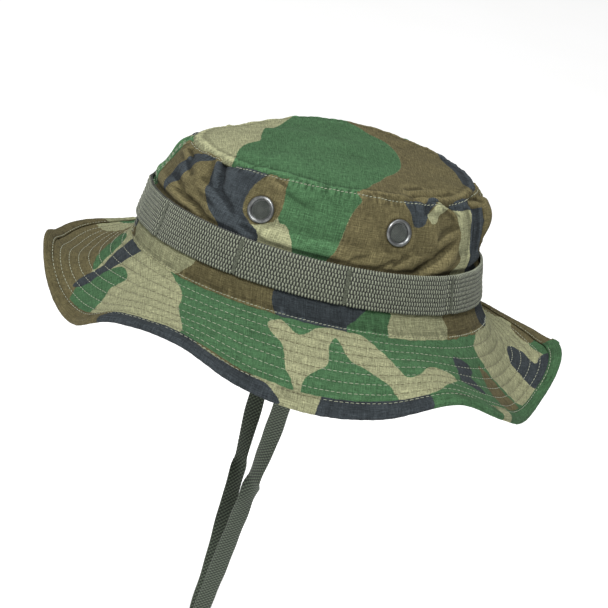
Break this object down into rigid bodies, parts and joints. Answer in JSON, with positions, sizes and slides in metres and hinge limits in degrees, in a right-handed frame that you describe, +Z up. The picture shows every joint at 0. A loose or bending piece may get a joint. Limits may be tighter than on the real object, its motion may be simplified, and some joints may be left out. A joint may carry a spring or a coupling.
{
  "type": "boonie hat",
  "caption": "Soft camouflage field hat with a drooping stitched brim, webbing band round the crown, screened vents and a flat chin cord with a sliding leather keeper.",
  "frame": {"origin": "centre of the head opening, in the plane where crown and brim are sewn together", "axes": "+Z up through the crown, front of the hat along -Y, wearer's left along +X"},
  "size_m": [0.2746, 0.3049, 0.4612],
  "materials": {
    "camouflage_ripstop": "matt woven cotton ripstop in four camouflage colours",
    "interlining": "matt stiffened cloth",
    "binding_cloth": "matt folded camouflage cloth",
    "seam_tape": "matt woven tape",
    "sweatband_cloth": "matt cotton",
    "label": "plain woven tape, blank",
    "webbing": "matt ribbed cotton webbing",
    "thread": "sewing thread",
    "eyelet_metal": "blackened brass, worn satin",
    "vent_mesh": "fine dark wire mesh",
    "braided_cord": "flat tubular braid",
    "keeper_leather": "black leather, cut edges"
  },
  "bodies": {
    "hat": {"crown_side_left": "camouflage_ripstop", "crown_side_right": "camouflage_ripstop", "crown_top": "camouflage_ripstop", "crown_top_seam_tape": "seam_tape", "front_seam_tape": "seam_tape", "back_seam_tape": "seam_tape", "sweatband": "sweatband_cloth", "size_label": "label", "brim_upper": "camouflage_ripstop", "brim_interlining": "interlining", "brim_lower": "camouflage_ripstop", "brim_binding": "binding_cloth", "foliage_band": "webbing", "foliage_band_bartacks": "thread", "eyelet_left_front": "eyelet_metal", "eyelet_left_back": "eyelet_metal", "eyelet_right_front": "eyelet_metal", "eyelet_right_back": "eyelet_metal", "vent_washer_left_front": "eyelet_metal", "vent_washer_left_back": "eyelet_metal", "vent_washer_right_front": "eyelet_metal", "vent_washer_right_back": "eyelet_metal", "vent_screen_left_front": "vent_mesh", "vent_screen_left_back": "vent_mesh", "vent_screen_right_front": "vent_mesh", "vent_screen_right_back": "vent_mesh", "cord_anchor_left": "seam_tape", "cord_anchor_right": "seam_tape"},
    "chin_strap": {"chin_cord": "braided_cord"},
    "keeper": {"cord_keeper": "keeper_leather"}
  },
  "joints": [
    {"name": "chin_cord_swing", "type": "hinge", "parent": "hat", "child": "chin_strap", "pos_m": [0, -0.005, -0.004], "axis": [1, 0, 0], "range_deg": [-60, 60]},
    {"name": "keeper_slide", "type": "slide", "parent": "chin_strap", "child": "keeper", "axis": [0, 0, 1], "range_m": [-0.085, 0]}
  ]
}
